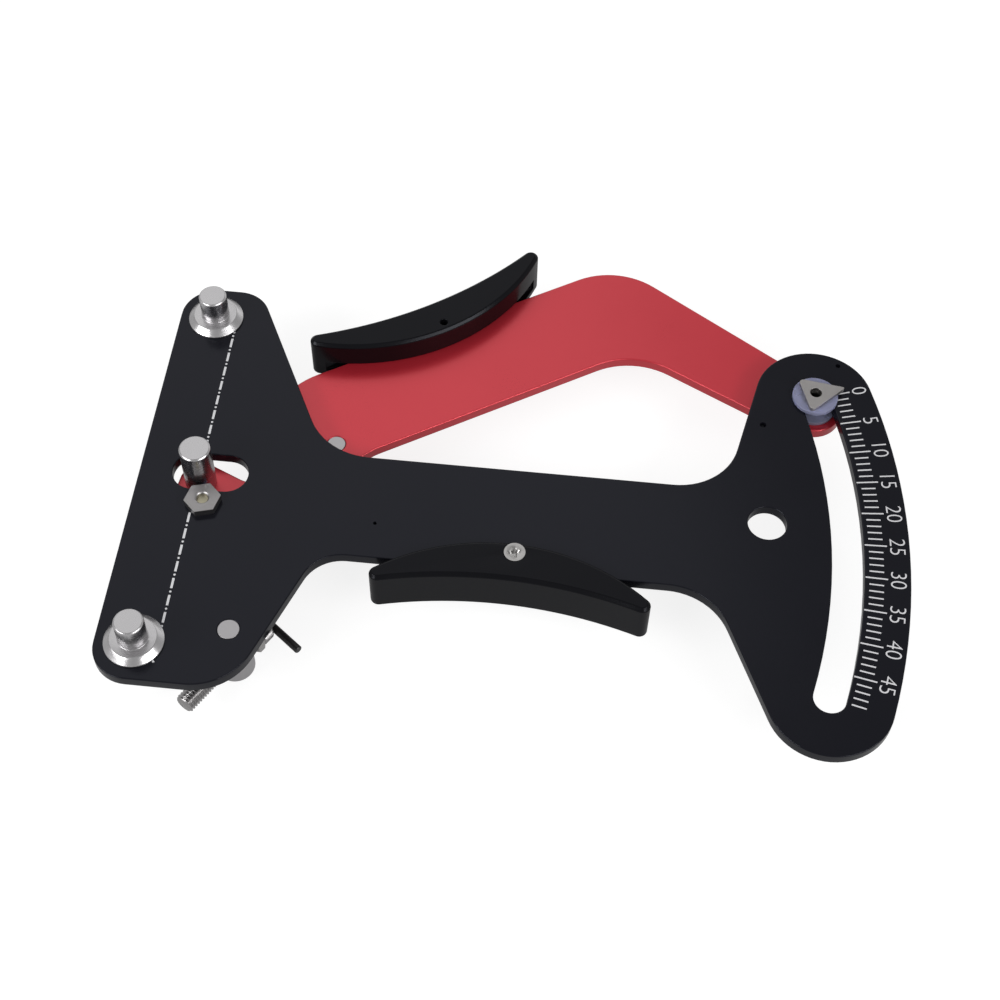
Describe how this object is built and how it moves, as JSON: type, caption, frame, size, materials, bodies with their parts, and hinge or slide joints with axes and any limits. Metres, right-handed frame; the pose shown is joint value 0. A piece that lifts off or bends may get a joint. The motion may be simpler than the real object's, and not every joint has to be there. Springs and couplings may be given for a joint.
{
  "type": "spoke tension meter",
  "caption": "Hand tool that bends a spoke between fixed posts and a sprung post on a crossed lever; a pointer on a curved scale shows its tension.",
  "frame": {"origin": "on the axis of a 2 mm spoke that rests on both fixed posts, midway between them", "axes": "+Y along the spoke towards the upper fixed post, +X towards the pointer and scale, +Z out of the plate on the side where the posts stand"},
  "size_m": [0.1911, 0.1439, 0.0286],
  "materials": {
    "black_anodised": "black anodised, satin",
    "red_anodised": "red anodised, satin",
    "turned_steel": "turned steel, left bright",
    "plated_screws": "bright zinc plate",
    "spring_wire": "black oxide on spring wire",
    "nylon": "translucent natural nylon",
    "black_moulding": "black moulded plastic, semi-matt"
  },
  "bodies": {
    "body": {"body_plate": "black_anodised", "fixed_post_upper": "turned_steel", "fixed_post_lower": "turned_steel", "pivot_sleeve": "turned_steel", "pivot_washer": "nylon", "thrust_washer": "nylon", "spring_hub": "turned_steel", "pivot_screw_washer": "plated_screws", "pivot_screw": "plated_screws", "torsion_spring": "spring_wire", "spring_anchor_post": "turned_steel", "grip_lower": "black_moulding", "grip_screw_lower": "plated_screws"},
    "lever": {"lever_arm": "red_anodised", "moving_post": "turned_steel", "lever_spring_post": "turned_steel", "pointer": "turned_steel", "pointer_washer_upper": "nylon", "pointer_washer_lower": "nylon", "pointer_sleeve": "nylon", "pointer_screw": "plated_screws", "grip_upper": "black_moulding", "grip_screw_upper": "plated_screws"},
    "calibration_screw": {"calibration_screw": "plated_screws"},
    "lock_nut": {"lock_nut": "plated_screws"}
  },
  "joints": [
    {"name": "lever_pivot", "type": "hinge", "parent": "body", "child": "lever", "pos_m": [0.0036, -0.0092, -0.0086], "axis": [0, 0, 1], "range_deg": [-32.3, 0], "stiffness_Nm_per_rad": 1.8, "springref_deg": 28.65, "deforming": ["torsion_spring"]},
    {"name": "calibration_turn", "type": "hinge", "parent": "body", "child": "calibration_screw", "pos_m": [0.0166, -0.0444, -0.01427], "axis": [0.515, 0.8572, 0], "range_deg": [-360, 360]},
    {"name": "lock_nut_turn", "type": "hinge", "parent": "body", "child": "lock_nut", "pos_m": [0.0166, -0.0444, -0.01427], "axis": [0.515, 0.8572, 0], "range_deg": [-360, 0]}
  ]
}
